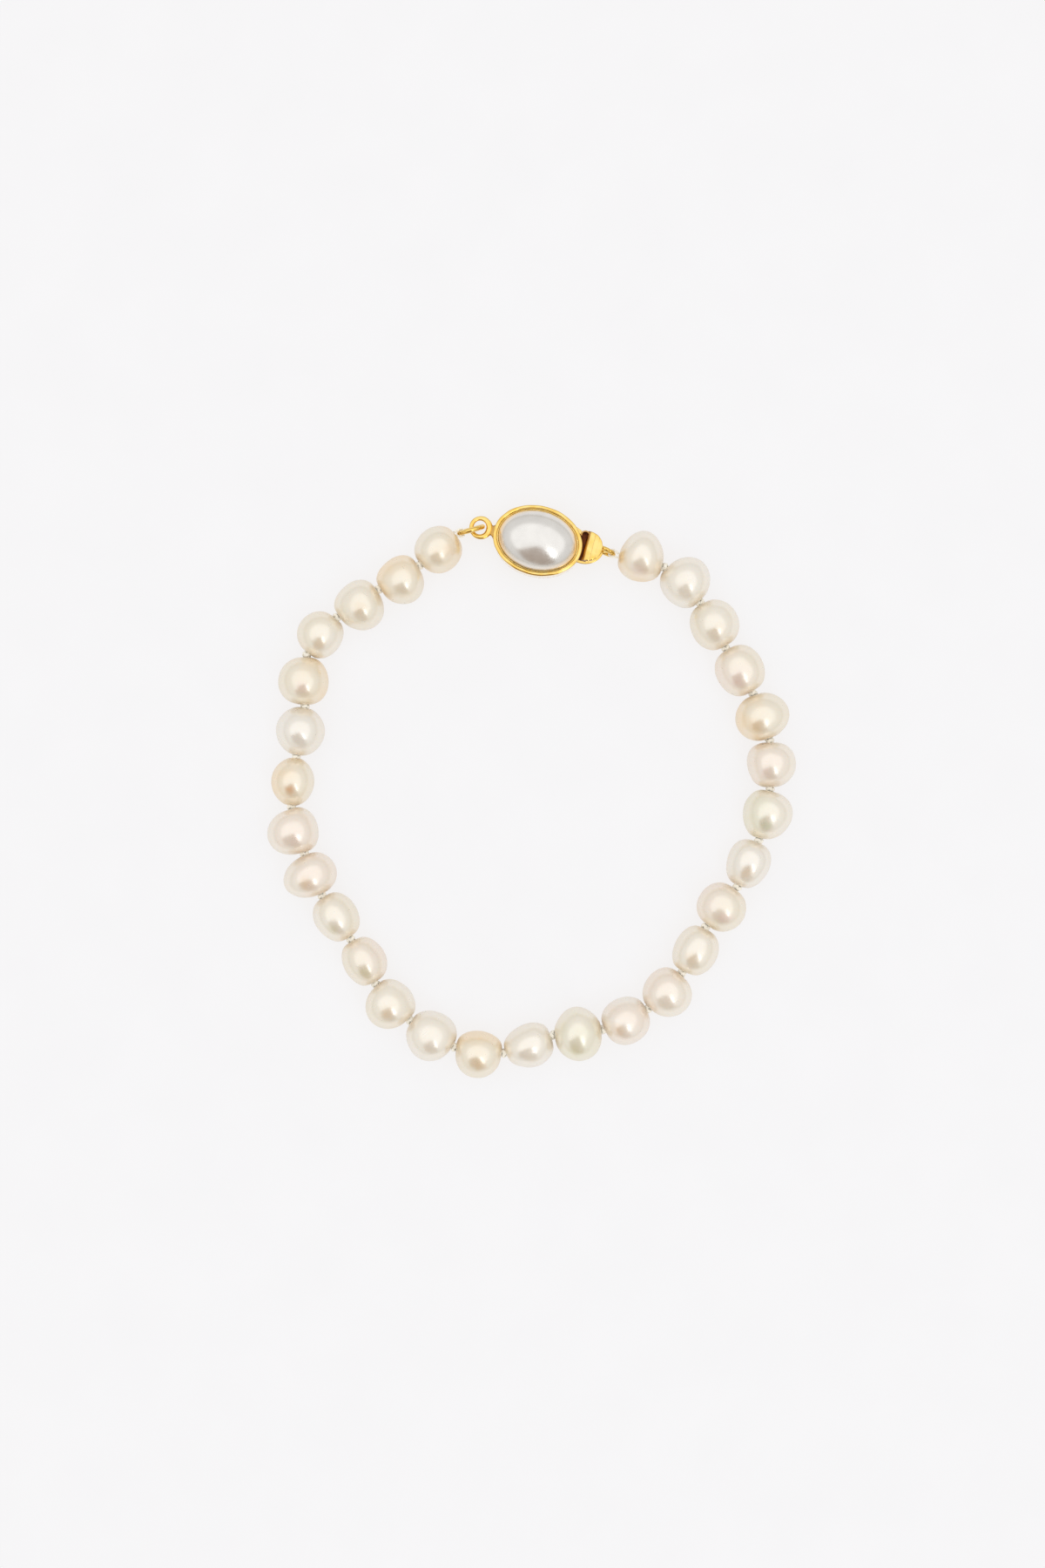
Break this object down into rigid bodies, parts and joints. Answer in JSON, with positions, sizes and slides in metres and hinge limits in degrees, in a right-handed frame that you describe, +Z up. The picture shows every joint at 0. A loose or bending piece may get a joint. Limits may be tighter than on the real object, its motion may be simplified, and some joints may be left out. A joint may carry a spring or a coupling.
{
  "type": "pearl bracelet",
  "caption": "Single-row bracelet of potato-shaped freshwater pearls, knotted one by one on silk and closed by an oval gold box clasp with a domed cabochon, lying in a loop",
  "frame": {"origin": "on the surface the bracelet lies on, under the middle of its outline seen from above", "axes": "+X right and +Y towards the clasp, both seen from above; +Z up, out of the surface"},
  "size_m": [0.0636, 0.069, 0.0059],
  "materials": {
    "pearl": "lustrous cream nacre",
    "cabochon": "silvery pearl lustre",
    "gold": "polished yellow gold",
    "silk": "matt twisted silk"
  },
  "bodies": {
    "root": {"pearl_01": "pearl", "pearl_02": "pearl", "pearl_03": "pearl", "pearl_04": "pearl", "pearl_05": "pearl", "pearl_06": "pearl", "pearl_07": "pearl", "pearl_08": "pearl", "pearl_09": "pearl", "pearl_10": "pearl", "pearl_11": "pearl", "pearl_12": "pearl", "pearl_13": "pearl", "pearl_14": "pearl", "pearl_15": "pearl", "pearl_16": "pearl", "pearl_17": "pearl", "pearl_18": "pearl", "pearl_19": "pearl", "pearl_20": "pearl", "pearl_21": "pearl", "pearl_22": "pearl", "pearl_23": "pearl", "pearl_24": "pearl", "pearl_25": "pearl", "pearl_26": "pearl", "pearl_27": "pearl", "pearl_28": "pearl", "thread": "silk", "clasp_box": "gold", "cabochon": "cabochon", "tongue": "gold", "jump_ring": "gold", "tongue_ring": "gold"}
  },
  "joints": []
}
